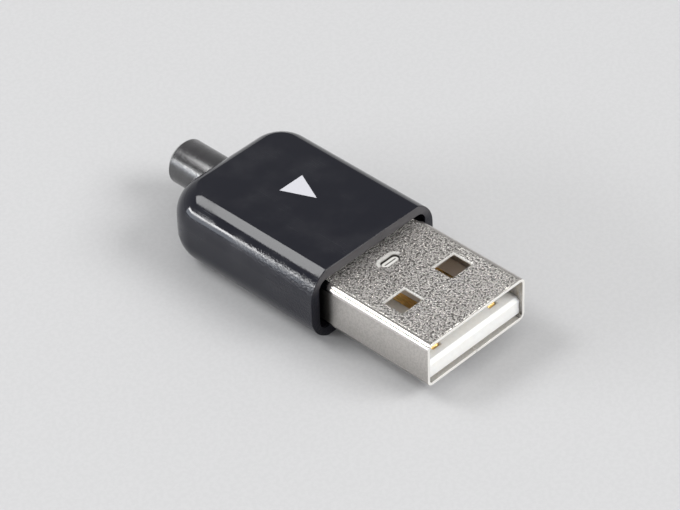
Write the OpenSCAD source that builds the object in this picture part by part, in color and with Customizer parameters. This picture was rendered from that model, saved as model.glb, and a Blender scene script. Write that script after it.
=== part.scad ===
// Slim solder-type USB-A plug: folded metal shell, white insulator with four
// contacts, one-piece moulded housing and a sleeve that guides the cable out.
// The mouth of the plug points to -Y, and the housing lies on its flat bottom.

/* [Metal shell] */
// Width over the metal shell
plug_w = 12.0; // [11.6:0.05:12.4]
// Height over the metal shell
plug_h = 4.5; // [4.3:0.05:4.7]
// Thickness of the folded sheet
sheet_t = 0.3; // [0.25:0.01:0.35]
// Outer radius of the four folds
fold_r = 0.6; // [0.45:0.05:0.8]
// Length of the closed shell, from the mouth to its rear edge
shell_l = 17.6; // [16.5:0.1:19]
// How far the shell stands out of the housing
plug_reach = 11.8; // [11.2:0.1:12.4]

/* [Windows in the shell] */
// Width of a latch window, across the plug
window_w = 2.5; // [2.2:0.1:2.8]
// Length of a latch window, along the plug
window_l = 2.05; // [1.8:0.05:2.3]
// Distance of a window's centre from the middle of the plug
window_x = 3.05; // [2.8:0.05:3.3]
// Distance of a window's centre from the mouth
window_y = 5.45; // [5:0.05:6]

/* [Keeper dimple] */
// Width of the pressed keeper, across the plug
keeper_w = 2.05; // [1.6:0.05:2.6]
// Length of the pressed keeper, along the plug
keeper_l = 0.95; // [0.7:0.05:1.2]
// How deep the keeper is pressed into the sheet
keeper_dip = 0.22; // [0.15:0.01:0.24]
// Distance of the keeper's centre from the mouth
keeper_y = 9.8; // [9.3:0.1:10.6]

/* [Seam under the shell] */
// Gap left along the seam
seam_gap = 0.06; // [0.04:0.01:0.1]
// Distance of the dovetail's centre from the mouth
dovetail_y = 9.2; // [8.6:0.1:10]
// Width of the dovetail where it leaves its edge
dovetail_neck = 1.2; // [1:0.1:1.6]
// Width of the dovetail at its head
dovetail_head = 1.9; // [1.7:0.1:2.4]
// How far the dovetail reaches across the seam
dovetail_reach = 1.1; // [0.8:0.1:1.4]

/* [Cable clamp of the shell] */
// Diameter of the cable that the clamp and the sleeve take
cable_d = 3.0; // [2.6:0.1:3.2]
// Width of the strap that carries the clamp
strap_w = 3.4; // [2.8:0.1:4]
// Length of the flat strap behind the shell
strap_l = 2.4; // [1.8:0.1:3]
// Length of the sloped step down to the cable
step_l = 1.4; // [1:0.1:2]
// Length of the clamp along the cable
clamp_l = 4.2; // [3.4:0.1:4.6]
// Width of the slot that parts the clamp into two pairs of ears
ear_slot = 0.8; // [0.6:0.1:1.2]
// Length of the straight legs under the arch of the clamp
ear_leg = 1.5; // [1:0.1:1.8]

/* [Insulator] */
// Depth from the mouth to the solid part of the insulator
mouth_depth = 8.65; // [8.3:0.05:9]
// How far the tongue stays back from the mouth
tongue_back = 0.3; // [0.2:0.05:0.5]
// Height of the gap above the tongue
tongue_gap = 2.0; // [1.95:0.01:2.1]
// Chamfer along the tongue's front edges
tongue_chamfer = 0.3; // [0.15:0.05:0.4]
// Distance from the insulator's rear face to the shell's rear edge
insulator_back = 0.8; // [0.5:0.1:1.2]
// Clearance round the insulator, and round the contacts in it
insulator_fit = 0.02; // [0.01:0.01:0.04]

/* [Contacts] */
// Width of a contact
contact_w = 1.0; // [0.9:0.05:1.1]
// Thickness of a contact
contact_t = 0.25; // [0.2:0.01:0.3]
// How far a contact stands above the tongue
contact_proud = 0.05; // [0.03:0.01:0.08]
// Distance of the two data contacts from the middle
data_x = 1.0; // [0.9:0.05:1.1]
// Distance of the two power contacts from the middle
power_x = 3.5; // [3.4:0.05:3.6]
// Visible length of a data contact
data_l = 6.4; // [6.1:0.1:6.6]
// Visible length of a power contact
power_l = 7.4; // [7.1:0.1:7.5]
// Length of the dipped tip of each contact
tip_l = 0.5; // [0.3:0.05:0.7]
// Length of the bare tail between the insulator and the solder cup
tail_neck = 0.8; // [0.5:0.1:1.2]
// Length of the solder cup
cup_l = 2.0; // [1.4:0.1:2.4]
// Outer radius of the solder cup
cup_r = 0.62; // [0.55:0.01:0.68]

/* [Housing] */
// Width of the housing
housing_w = 15.0; // [14.6:0.1:16]
// Height of the housing
housing_h = 7.24; // [7:0.02:7.6]
// Length of the housing
housing_l = 18.3; // [17.8:0.1:20]
// Radius of the long rounded edges
edge_r = 3.0; // [2.6:0.1:3.2]
// How far the flat top and bottom cut into the full round of the edges
edge_cut = 0.23; // [0.1:0.01:0.3]
// Radius of the two rear corners, seen from above
corner_r = 3.6; // [3.4:0.1:4]
// Gap between the shell and the housing's opening, at each side
side_gap = 0.5; // [0.4:0.05:0.6]
// Gap between the shell and the housing's opening, above and below
top_gap = 0.35; // [0.3:0.01:0.4]
// Radius of the corners of the opening
opening_r = 0.9; // [0.7:0.05:1.1]
// Thickness of the rear wall
rear_wall = 1.2; // [1:0.1:1.4]
// Distance from the front face to the ribs that hold the shell
rib_back = 1.2; // [0.8:0.1:1.6]
// Width of a rib
rib_w = 0.9; // [0.7:0.1:1.2]
// Distance of the upper and lower ribs from the middle
rib_x = 3.4; // [3:0.1:4]
// Length of the stops behind the shell
stop_l = 1.2; // [0.9:0.1:1.6]
// How far a stop covers the shell's rear edge, seen from behind
stop_cover = 0.25; // [0.15:0.01:0.3]

/* [Cable sleeve] */
// Diameter of the sleeve
sleeve_d = 4.3; // [4.1:0.1:4.4]
// How far the sleeve stands out of the housing
sleeve_reach = 4.8; // [4:0.1:6]
// Height of the sleeve's axis below the middle of the housing
sleeve_drop = 0.15; // [0:0.05:0.2]
// Clearance between the cable and the sleeve, on the radius
cable_fit = 0.05; // [0.03:0.01:0.1]
// Clearance between the sleeve and the housing's hole, on the radius
sleeve_fit = 0.05; // [0.03:0.01:0.1]
// Thickness of the flange inside the housing
flange_t = 0.8; // [0.6:0.1:1]
// Clearance round the flange in its seat, and between the seat and the floor
flange_fit = 0.05; // [0.03:0.01:0.1]
// Chamfer round the sleeve's end
sleeve_chamfer = 0.35; // [0.2:0.05:0.45]
// Chamfer at the mouth of the cable's bore
bore_chamfer = 0.2; // [0.1:0.05:0.25]

/* [Hidden] */

$fn = 64;

// Heights are measured from the middle of the plug, lengths from its mouth.
total_l = plug_reach + housing_l + sleeve_reach;
middle_z = housing_h / 2;
inner_w = plug_w - 2 * sheet_t;
inner_h = plug_h - 2 * sheet_t;
inner_r = fold_r - sheet_t;
inner_top = inner_h / 2;
inner_floor = -inner_h / 2;
over = 1;

housing_end = plug_reach + housing_l;
cavity_w = plug_w + 2 * side_gap;
cavity_h = plug_h + 2 * top_gap;
cavity_end = housing_end - rear_wall;
cavity_corner = corner_r - (housing_w - cavity_w) / 2;

tongue_top = inner_top - tongue_gap;
insulator_end = shell_l - insulator_back;
contact_top = tongue_top + contact_proud;
contact_floor = contact_top - contact_t;
tip_drop = 2 * contact_t;
cup_z = contact_floor + cup_r;
cup_wall = contact_t;

clamp_r = cable_d / 2;
clamp_outer = clamp_r + sheet_t;
strap_end = shell_l + strap_l;
clamp_y = strap_end + step_l;
clamp_roof = clamp_outer - sleeve_drop;

sleeve_end = total_l;
sleeve_bore = cable_d + 2 * cable_fit;
flange_d = cavity_h - 2 * (sleeve_drop + 2 * flange_fit);
flange_y = cavity_end - flange_t;

// ---- shared shapes ----

// Moves a sub-part from the plug's own measures to the part's frame
module place() translate([0, -total_l / 2, middle_z]) children();

// Extrudes an outline in X and Z from one length to another
module along(from, to)
    translate([0, to, 0]) rotate([90, 0, 0]) linear_extrude(to - from) children();

// Extrudes an outline in Y and Z across the middle
module across(width)
    rotate([90, 0, 90]) translate([0, 0, -width / 2]) linear_extrude(width) children();

module round_rect(w, h, r) {
    square([w - 2 * r, h], center = true);
    square([w, h - 2 * r], center = true);
    for (sx = [-1, 1], sz = [-1, 1])
        translate([sx * (w / 2 - r), sz * (h / 2 - r)]) circle(r);
}

// Oblong outline with round ends
module oblong(w, l) {
    square([w - l, l], center = true);
    for (sx = [-1, 1]) translate([sx * (w - l) / 2, 0]) circle(d = l);
}

// Section of a block whose long edges are round and whose top and bottom are flat
module block_section(w, h, r, cut)
    intersection() {
        round_rect(w, h + 2 * cut, r);
        square([w, h], center = true);
    }

// Block along Y with a square front and round rear corners, seen from above
module round_back_block(w, h, r, cut, corner, from, to) {
    along(from, to - corner) block_section(w, h, r, cut);
    across(w - 2 * corner)
        intersection() {
            translate([to - w / 2, 0]) block_section(w, h, r, cut);
            translate([to - corner - r, -h]) square([corner + r, 2 * h]);
        }
    for (sx = [-1, 1])
        translate([sx * (w / 2 - corner), to - corner, 0])
            rotate_extrude()
                intersection() {
                    translate([corner - w / 2, 0]) block_section(w, h, r, cut);
                    translate([0, -h]) square([corner, 2 * h]);
                }
}

// ---- metal shell ----

module window_cuts()
    for (sx = [-1, 1])
        translate([sx * window_x, window_y, 0])
            cube([window_w, window_l, plug_h + over], center = true);

// The slit of the seam, which runs round one dovetail in the middle of the floor
module seam_outline() {
    neck = dovetail_neck / 2;
    head = dovetail_head / 2;
    difference() {
        union() {
            translate([-seam_gap / 2, -over]) square([seam_gap, shell_l + 2 * over]);
            polygon([[-seam_gap / 2, dovetail_y - neck - seam_gap],
                     [dovetail_reach + seam_gap, dovetail_y - head - seam_gap],
                     [dovetail_reach + seam_gap, dovetail_y + head + seam_gap],
                     [-seam_gap / 2, dovetail_y + neck + seam_gap]]);
        }
        polygon([[-over, dovetail_y - neck], [0, dovetail_y - neck],
                 [dovetail_reach, dovetail_y - head], [dovetail_reach, dovetail_y + head],
                 [0, dovetail_y + neck], [-over, dovetail_y + neck]]);
    }
}

module seam_cut()
    translate([0, 0, -plug_h / 2 - over])
        linear_extrude(over + 2 * sheet_t) seam_outline();

// The keeper is half sheared: a pocket outside and the same bump inside
module keeper_pocket()
    translate([0, keeper_y, plug_h / 2 - keeper_dip])
        linear_extrude(keeper_dip + over) oblong(keeper_w, keeper_l);

module keeper_bump()
    translate([0, keeper_y, inner_top - keeper_dip])
        linear_extrude(sheet_t) oblong(keeper_w - sheet_t / 2, keeper_l - sheet_t / 2);

// Side view of the strap and of its step down to the clamp
module strap_outline()
    polygon([[shell_l - sheet_t, inner_top], [strap_end, inner_top],
             [clamp_y, clamp_roof - sheet_t], [clamp_y + sheet_t, clamp_roof - sheet_t],
             [clamp_y + sheet_t, clamp_roof], [clamp_y, clamp_roof],
             [strap_end, plug_h / 2], [shell_l - sheet_t, plug_h / 2]]);

// Front view of the clamp: an arch over the cable with two straight legs
module clamp_outline()
    translate([0, -sleeve_drop])
        difference() {
            union() {
                circle(clamp_outer);
                translate([-clamp_outer, -ear_leg]) square([2 * clamp_outer, ear_leg]);
            }
            circle(clamp_r);
            translate([-clamp_r, -clamp_outer - over])
                square([2 * clamp_r, clamp_outer + over]);
            translate([-clamp_outer - over, -clamp_outer - over])
                square([2 * (clamp_outer + over), clamp_outer + over - ear_leg]);
        }

// The slot leaves only the top of the arch between the two pairs of ears
module clamp()
    difference() {
        along(clamp_y, clamp_y + clamp_l) clamp_outline();
        translate([-plug_w, clamp_y + (clamp_l - ear_slot) / 2, -plug_h])
            cube([2 * plug_w, ear_slot, plug_h + clamp_r / 2]);
    }

module plug_shell() color("silver") place() {
    difference() {
        along(0, shell_l)
            difference() {
                round_rect(plug_w, plug_h, fold_r);
                round_rect(inner_w, inner_h, inner_r);
            }
        window_cuts();
        seam_cut();
        keeper_pocket();
    }
    keeper_bump();
    across(strap_w) strap_outline();
    clamp();
}

// ---- insulator ----

// Side view of the insulator: the tongue in front and the solid part behind it
module insulator_outline() {
    front = tongue_back;
    roof = inner_top - insulator_fit;
    polygon([[front, inner_floor + tongue_chamfer], [front + tongue_chamfer, inner_floor],
             [insulator_end, inner_floor], [insulator_end, roof],
             [mouth_depth, roof], [mouth_depth, tongue_top],
             [front + tongue_chamfer, tongue_top], [front, tongue_top - tongue_chamfer]]);
}

// Room for one contact: its groove in the tongue and its slot through the block
module contact_room(x, l) {
    start = mouth_depth - l;
    w = contact_w + 2 * insulator_fit;
    translate([x - w / 2, start, contact_floor])
        cube([w, insulator_end + over - start, contact_t + insulator_fit]);
    translate([x - w / 2, start - insulator_fit, contact_floor - tip_drop])
        cube([w, tip_l + 2 * insulator_fit, tip_drop + contact_t + over]);
}

module keeper_room()
    translate([0, keeper_y, inner_top - keeper_dip - insulator_fit])
        linear_extrude(sheet_t) oblong(keeper_w, keeper_l);

module insulator() color("ivory") place()
    difference() {
        intersection() {
            across(inner_w - 2 * insulator_fit) insulator_outline();
            along(0, insulator_end) round_rect(inner_w - 2 * insulator_fit, inner_h, inner_r);
        }
        for (sx = [-1, 1]) {
            contact_room(sx * data_x, data_l);
            contact_room(sx * power_x, power_l);
        }
        keeper_room();
    }

// ---- contacts ----

// Side view of a contact: dipped tip, flat blade and tail
module contact_outline(start) {
    tail = insulator_end + tail_neck + cup_wall;
    polygon([[start, contact_floor - tip_drop + contact_t], [start, contact_floor - tip_drop],
             [start + contact_t, contact_floor - tip_drop], [start + tip_l, contact_floor],
             [tail, contact_floor], [tail, contact_top], [start + tip_l, contact_top]]);
}

// Half-round solder cup, open at the top
module solder_cup()
    along(insulator_end + tail_neck, insulator_end + tail_neck + cup_l)
        translate([0, cup_z])
            difference() {
                circle(cup_r);
                circle(cup_r - cup_wall);
                translate([-cup_r - over, 0]) square([2 * (cup_r + over), cup_r + over]);
            }

module contact(x, l) color("gold") place()
    translate([x, 0, 0]) {
        across(contact_w) contact_outline(mouth_depth - l);
        solder_cup();
    }

module contact_power() contact(power_x, power_l);
module contact_data_minus() contact(data_x, data_l);
module contact_data_plus() contact(-data_x, data_l);
module contact_ground() contact(-power_x, power_l);

// ---- housing ----

// Ribs above, below and beside the shell, which the shell is pushed between
module shell_ribs() {
    from = plug_reach + rib_back;
    for (sx = [-1, 1], sz = [-1, 1])
        translate([sx * rib_x - rib_w / 2, from,
                   sz > 0 ? plug_h / 2 : -plug_h / 2 - top_gap - over / 4])
            cube([rib_w, shell_l - from, top_gap + over / 4]);
    for (sx = [-1, 1])
        translate([sx > 0 ? plug_w / 2 : -plug_w / 2 - side_gap - over / 4, from, -rib_w / 2])
            cube([side_gap + over / 4, shell_l - from, rib_w]);
}

// Stops that the shell's rear edge comes up against
module shell_stops()
    for (sx = [-1, 1])
        translate([sx > 0 ? plug_w / 2 - stop_cover : -cavity_w / 2 - over / 4,
                   shell_l, -rib_w])
            cube([side_gap + stop_cover + over / 4, stop_l, 2 * rib_w]);

// Hole for the sleeve through the rear wall, and the round seat for its flange
module sleeve_seat()
    translate([0, housing_end + over, -sleeve_drop]) rotate([90, 0, 0]) {
        cylinder(h = rear_wall + 2 * over, r = sleeve_d / 2 + sleeve_fit);
        translate([0, 0, over + rear_wall])
            cylinder(h = opening_r + flange_t, r = flange_d / 2 + flange_fit);
    }

module housing() color("#24242a") place() {
    difference() {
        round_back_block(housing_w, housing_h, edge_r, edge_cut, corner_r,
                         plug_reach, housing_end);
        round_back_block(cavity_w, cavity_h, opening_r, 0, cavity_corner,
                         plug_reach - over, cavity_end);
        sleeve_seat();
    }
    shell_ribs();
    shell_stops();
}

// ---- cable sleeve ----

module cable_sleeve() color("#3a3a3e") place()
    translate([0, flange_y, -sleeve_drop]) rotate([-90, 0, 0])
        rotate_extrude()
            polygon([[sleeve_bore / 2, 0], [flange_d / 2, 0], [flange_d / 2, flange_t],
                     [sleeve_d / 2, flange_t],
                     [sleeve_d / 2, sleeve_end - flange_y - sleeve_chamfer],
                     [sleeve_d / 2 - sleeve_chamfer, sleeve_end - flange_y],
                     [sleeve_bore / 2 + bore_chamfer, sleeve_end - flange_y],
                     [sleeve_bore / 2, sleeve_end - flange_y - bore_chamfer]]);

plug_shell();
insulator();
contact_power();
contact_data_minus();
contact_data_plus();
contact_ground();
housing();
cable_sleeve();
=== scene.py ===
"""Looks of a slim solder-type plug: folded nickel shell, polished housing, turned sleeve."""

import math

import bmesh
import bpy
import numpy as np
from bpy.props import FloatProperty, FloatVectorProperty, IntProperty, PointerProperty
from mathutils import Matrix, Vector
from mathutils.geometry import delaunay_2d_cdt


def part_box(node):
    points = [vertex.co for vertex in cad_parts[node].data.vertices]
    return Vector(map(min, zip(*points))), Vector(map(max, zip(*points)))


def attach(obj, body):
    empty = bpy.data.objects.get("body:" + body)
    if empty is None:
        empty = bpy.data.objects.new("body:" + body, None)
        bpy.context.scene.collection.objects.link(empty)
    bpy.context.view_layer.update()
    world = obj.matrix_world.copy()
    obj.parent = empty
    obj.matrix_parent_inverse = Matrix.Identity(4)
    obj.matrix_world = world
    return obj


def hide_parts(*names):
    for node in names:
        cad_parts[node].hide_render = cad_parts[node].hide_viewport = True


bl_info = {
    "name": "Solder plug looks",
    "version": (1, 0, 0),
    "blender": (4, 5, 0),
    "location": "3D View > Sidebar > Plug",
    "description": "Builds the shell, housing, sleeve, contacts and stage of a solder plug",
    "category": "Object",
}

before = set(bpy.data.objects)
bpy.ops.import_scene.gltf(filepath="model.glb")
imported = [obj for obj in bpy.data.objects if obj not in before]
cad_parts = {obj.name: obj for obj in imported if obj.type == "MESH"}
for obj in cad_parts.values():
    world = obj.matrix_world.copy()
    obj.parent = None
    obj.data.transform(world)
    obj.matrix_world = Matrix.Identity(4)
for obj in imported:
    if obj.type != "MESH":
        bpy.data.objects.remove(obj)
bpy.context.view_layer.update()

MM = 0.001
SHELL_LOW, SHELL_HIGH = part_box("plug_shell")
HOUSING_LOW, HOUSING_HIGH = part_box("housing")
SLEEVE_LOW, SLEEVE_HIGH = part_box("cable_sleeve")
MOUTH_Y = SHELL_LOW.y
MIDDLE_Z = (SHELL_LOW.z + SHELL_HIGH.z) / 2
BODY = "root"
FLOOR_Z = -0.00002
# the rims of the windows are rolled this many times as wide as the other cut edges
WINDOW_ROLL = 3.5
# rings of points from the keeper's edge inwards, close together where it bends most
KEEPER_RINGS = [inwards * MM for inwards in (0.0, 0.02, 0.045, 0.07, 0.13, 0.22, 0.34)]
# the bright edge colour is a painted highlight for rims, cut edges and the keeper
# the grime colour is painted shade beside the housing and towards the bottom, and also the dark of the
# keeper's cracks
BARE_METAL, EDGE_HIGHLIGHT_PAINT, SHADE_AND_CRACK_DARK = (1.0, 0.96, 0.915), (0.80, 0.785, 0.75), (0.05, 0.045, 0.04)
# lighter colour painted on the upper part of the housing's front face, as painted light from above
LIT_RING_PAINT = (0.066, 0.063, 0.067)
# painted shade on the insulator inside the shell, lighter on the left and darker on the right
LEFT_SHADE_PAINT, RIGHT_SHADE_PAINT = (1.0, 0.95, 0.89), (0.84, 0.73, 0.63)


# ---- sizes and colours -------------------------------------------------------


def length(name, text, value_mm):
    return FloatProperty(
        name=name, description=text, default=value_mm * MM, min=0.0, unit="LENGTH", precision=5
    )


def colour(name, text, value):
    return FloatVectorProperty(
        name=name, description=text, default=value, min=0.0, max=1.0, size=3, subtype="COLOR"
    )


class ShellSizes(bpy.types.PropertyGroup):
    sheet: length("Sheet", "Thickness of the folded sheet", 0.3)
    fold: length("Fold radius", "Outer radius of the four folds", 0.6)
    closed: length("Closed length", "Length of the closed shell", 17.6)
    seam: length("Seam", "Gap left along the seam", 0.06)
    window_w: length("Window width", "Width of a latch window", 2.5)
    window_l: length("Window length", "Length of a latch window", 2.05)
    window_x: length("Window offset", "Window's centre from the middle", 3.05)
    window_y: length("Window depth", "Window's centre from the mouth", 5.45)
    keeper_w: length("Keeper width", "Width of the pressed keeper", 2.05)
    keeper_l: length("Keeper length", "Length of the pressed keeper", 0.95)
    keeper_y: length("Keeper depth", "Keeper's centre from the mouth", 9.8)
    keeper_dip: length("Keeper dip", "How deep the keeper is pressed", 0.22)
    rim: length("Rim", "Rounding of the cut edges", 0.04)


class HousingSizes(bpy.types.PropertyGroup):
    edge: length("Edge radius", "Radius of the long rounded edges", 3.0)
    cut: length("Edge cut", "How far the flats cut into the full round", 0.23)
    corner: length("Corner radius", "Radius of the rear corners from above", 3.6)
    side_gap: length("Side gap", "Gap beside the shell in the opening", 0.5)
    top_gap: length("Top gap", "Gap above the shell in the opening", 0.35)
    opening: length("Opening radius", "Radius of the opening's corners", 0.9)
    wall: length("Rear wall", "Thickness of the rear wall", 1.2)
    lip: length("Lip", "Rounding of the front face's edges", 0.07)
    rib: length("Rib", "Half the width of a rib", 0.45)
    rib_x: length("Rib offset", "Upper and lower ribs from the middle", 3.4)
    rib_start: length("Rib start", "How far behind the front face the ribs start", 1.2)
    stop: length("Stop", "Length of the stops behind the shell", 1.2)
    sunk: length("Rib root", "How deep a rib runs into its wall", 0.25)


class SleeveSizes(bpy.types.PropertyGroup):
    across: length("Diameter", "Diameter of the sleeve", 4.3)
    bore: length("Bore", "Diameter of the cable's bore", 3.1)
    drop: length("Drop", "Axis below the middle of the housing", 0.15)
    flange: length("Flange", "Thickness of the flange", 0.8)
    chamfer: length("Chamfer", "Chamfer round the sleeve's end", 0.35)
    steps: IntProperty(name="Steps", description="Facets round the sleeve", default=128, min=16)


class ContactSizes(bpy.types.PropertyGroup):
    wide: length("Width", "Width of a contact", 1.0)
    thick: length("Thickness", "Thickness of a contact", 0.25)
    inner_x: length("Inner offset", "Data contacts from the middle", 1.0)
    outer_x: length("Outer offset", "Power contacts from the middle", 3.5)
    tip: length("Tip", "Length of the dipped tip", 0.5)


class FinishColours(bpy.types.PropertyGroup):
    nickel: colour("Nickel", "Colour of the matt nickel sheet", (0.80, 0.74, 0.655))
    housing: colour("Housing", "Colour of the polished housing", (0.003, 0.0035, 0.009))
    sleeve: colour("Sleeve", "Colour of the satin sleeve", (0.030, 0.029, 0.032))
    insulator: colour("Insulator", "Colour of the white moulding", (0.93, 0.92, 0.885))
    gold: colour("Gold", "Colour of the gold plate", (0.87, 0.60, 0.24))
    mark: colour("Mark", "Colour of the printed mark", (0.60, 0.60, 0.64))
    floor: colour("Floor", "Colour of the floor", (0.56, 0.56, 0.565))


# ---- mesh helpers ------------------------------------------------------------


def finished(name, verts, faces, slot_name, replaced, sharp_deg=30.0):
    """Makes a piece from points measured from the mouth and the middle."""
    mesh = bpy.data.meshes.new(name)
    points = np.asarray(verts, float) + np.array([0.0, MOUTH_Y, MIDDLE_Z])
    mesh.from_pydata([tuple(p) for p in points], [], [tuple(f) for f in faces])
    mesh.validate()
    return dressed(name, mesh, slot_name, replaced, sharp_deg)


def dressed(name, mesh, slot_name, replaced, sharp_deg=30.0):
    tidy = bmesh.new()
    tidy.from_mesh(mesh)
    bmesh.ops.remove_doubles(tidy, verts=tidy.verts, dist=1e-7)
    bmesh.ops.recalc_face_normals(tidy, faces=tidy.faces)
    tidy.to_mesh(mesh)
    tidy.free()
    mesh.shade_smooth()
    mesh.set_sharp_from_angle(angle=math.radians(sharp_deg))
    piece = linked(name, mesh)
    piece["slot_name"] = slot_name
    piece["replaced"] = replaced
    return piece


def linked(name, data):
    thing = bpy.data.objects.new(name, data)
    bpy.context.scene.collection.objects.link(thing)
    return thing


def band(one, other, closed=True):
    """Faces between two rows of points, given by their numbers."""
    n = len(one)
    pairs = [(i, (i + 1) % n) for i in range(n if closed else n - 1)]
    return [(one[i], one[j], other[j], other[i]) for i, j in pairs]


def weigh_normals(piece):
    weigh = piece.modifiers.new("weighted", "WEIGHTED_NORMAL")
    weigh.keep_sharp = True
    weigh.weight = 100


def settle(piece, material):
    """Gives a piece its material and its body, hides the nodes it stands for and drops its slot name."""
    piece.data.materials.clear()
    piece.data.materials.append(material)
    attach(piece, BODY)
    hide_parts(*piece["replaced"])
    del piece["slot_name"], piece["replaced"]


def plain_copy(piece):
    """Turns the evaluated shape of a piece into a plain mesh without modifiers."""
    graph = bpy.context.evaluated_depsgraph_get()
    mesh = bpy.data.meshes.new_from_object(piece.evaluated_get(graph))
    piece.modifiers.clear()
    old = piece.data
    piece.data = mesh
    bpy.data.meshes.remove(old)
    mesh.name = piece.name


def boolean(piece, cutter, operation):
    step = piece.modifiers.new("cut", "BOOLEAN")
    step.operation = operation
    step.solver = "EXACT"
    step.object = cutter
    plain_copy(piece)
    bpy.data.objects.remove(cutter)


# ---- folded shell ------------------------------------------------------------


class FoldedSheet:
    """Carries points of the flat pattern to their places on the folded shell."""

    def __init__(self, sizes):
        self.fold, self.closed = sizes.fold, sizes.closed
        self.w = SHELL_HIGH.x - SHELL_LOW.x
        self.h = 2 * (SHELL_HIGH.z - MIDDLE_Z)
        self.keeper = (sizes.keeper_w, sizes.keeper_l, sizes.keeper_y, sizes.keeper_dip)
        flat, wall = self.w / 2 - self.fold, self.h - 2 * self.fold
        arc = math.pi / 2 * self.fold
        self.bounds = np.cumsum([0, flat, arc, wall, arc, 2 * flat, arc, wall, arc, flat])
        self.around = self.bounds[-1]
        self.middle = (self.bounds[4] + self.bounds[5]) / 2
        self.flat, self.wall = flat, wall
        self.arch = 1.8 * MM
        self.strap_l, self.step_l, self.step_drop = 2.4 * MM, 1.4 * MM, 0.6 * MM
        self.step_run = math.hypot(self.step_l, self.step_drop)

    def fold_lines(self, steps=12):
        b = self.bounds
        return np.concatenate([np.linspace(b[i], b[i + 1], steps + 1) for i in (1, 3, 5, 7)])

    def section(self, s):
        """Outer section of the closed shell at a distance s along the sheet."""
        b, a, c, r = self.bounds, self.flat, self.wall / 2, self.fold
        x, z = s.copy(), np.full_like(s, -self.h / 2)
        corners = [(1, a, -c, -90), (3, a, c, 0), (5, -a, c, 90), (7, -a, -c, 180)]
        for i, cx, cz, start in corners:
            on = (s >= b[i]) & (s < b[i + 1])
            turn = np.radians(start) + (s[on] - b[i]) / r
            x[on], z[on] = cx + r * np.cos(turn), cz + r * np.sin(turn)
        on = (s >= b[2]) & (s < b[3])
        x[on], z[on] = self.w / 2, -c + s[on] - b[2]
        on = (s >= b[4]) & (s < b[5])
        x[on], z[on] = a - (s[on] - b[4]), self.h / 2
        on = (s >= b[6]) & (s < b[7])
        x[on], z[on] = -self.w / 2, c - (s[on] - b[6])
        on = s >= b[8]
        x[on] = s[on] - self.around
        return x, z

    def surface(self, pattern):
        s, y = pattern[:, 0], pattern[:, 1]
        x, z = self.section(s)
        out = np.stack([x, y, z], 1)
        behind = y > self.closed + 1e-9
        if behind.any():
            u, v = self.middle - s[behind], y[behind] - self.closed
            knots = [0, self.strap_l, self.strap_l + self.step_run, 1]
            ends = [0, self.strap_l, self.strap_l + self.step_l, 1 - self.step_run + self.step_l]
            lift = [self.h / 2, self.h / 2, self.h / 2 - self.step_drop, self.h / 2 - self.step_drop]
            share = np.clip((v - self.strap_l) / self.step_run, 0, 1)
            bend = np.maximum(share * share * (3 - 2 * share), 1e-4) / self.arch
            turn = np.clip(u * bend, -math.pi / 2, math.pi / 2)
            leg = np.maximum(np.abs(u) - math.pi / 2 / bend, 0)
            out[behind, 0] = np.sin(turn) / bend
            out[behind, 1] = self.closed + np.interp(v, knots, ends)
            out[behind, 2] = np.interp(v, knots, lift) - (1 - np.cos(turn)) / bend - leg
        return out

    def keeper_depth(self, pattern):
        """The keeper is a plate sheared half through, with a soft edge on the outside."""
        wide, long, y, dip = self.keeper
        across = np.maximum(np.abs(pattern[:, 0] - self.middle) - (wide - long) / 2, 0)
        inside = long / 2 - np.hypot(across, pattern[:, 1] - y)
        sheared, crown_reach = 0.045 * MM, 0.4 * MM
        crown_rise, lean_drop = 0.06 * MM, 0.05 * MM
        on_plate = inside > 0.08 * MM
        share = np.clip(inside / sheared, 0, 1)
        lean = np.clip((pattern[:, 1] - y) / long * 2, -1, 1) * on_plate
        crown = np.sqrt(np.clip(inside / crown_reach, 0, 1)) * on_plate
        return dip * share - crown_rise * crown + lean_drop * lean

    def placed(self, pattern, depth):
        """Places pattern points at a depth below the sheet's outer face."""
        step = 1e-6
        here = self.surface(pattern)
        along_s = self.surface(pattern + [step, 0]) - self.surface(pattern - [step, 0])
        along_y = self.surface(pattern + [0, step]) - self.surface(pattern - [0, step])
        normal = np.cross(along_y, along_s)
        normal /= np.linalg.norm(normal, axis=1)[:, None]
        sunk = np.asarray(depth) + self.keeper_depth(pattern)
        return here - normal * sunk[:, None]


def rounded_window(cx, cy, wide, long, radius, steps=6):
    turns = np.radians([start + 90 * i / steps for start in (-90, 0, 90, 180) for i in range(steps + 1)])
    x = np.repeat([1, 1, -1, -1], steps + 1) * (wide / 2 - radius) + radius * np.cos(turns)
    y = np.repeat([-1, 1, 1, -1], steps + 1) * (long / 2 - radius) + radius * np.sin(turns)
    return np.stack([cx + x, cy + y], 1)


def oblong_loop(cx, cy, wide, long, steps=14):
    turns = np.radians([start + 180 * i / steps for start in (-90, 90) for i in range(steps + 1)])
    x = np.repeat([1, -1], steps + 1) * (wide - long) / 2 + long / 2 * np.cos(turns)
    return np.stack([cx + x, cy + long / 2 * np.sin(turns)], 1)


def inset_loop(loop, amount):
    """Moves a counter-clockwise loop inwards by an amount, with mitred corners."""
    before = loop - np.roll(loop, 1, axis=0)
    after = np.roll(loop, -1, axis=0) - loop
    n1 = np.stack([-before[:, 1], before[:, 0]], 1)
    n2 = np.stack([-after[:, 1], after[:, 0]], 1)
    n1 /= np.linalg.norm(n1, axis=1)[:, None]
    n2 /= np.linalg.norm(n2, axis=1)[:, None]
    mitre = (n1 + n2) / (1 + (n1 * n2).sum(1))[:, None]
    return loop + mitre * amount


def inside(loop, points):
    """Whether each point lies inside a closed loop."""
    x, y = points[:, 0], points[:, 1]
    result = np.zeros(len(points), bool)
    for (x1, y1), (x2, y2) in zip(loop, np.roll(loop, -1, axis=0)):
        crosses = (y1 > y) != (y2 > y)
        if y1 != y2:
            result ^= crosses & (x < (x2 - x1) * (y - y1) / (y2 - y1) + x1)
    return result


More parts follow.
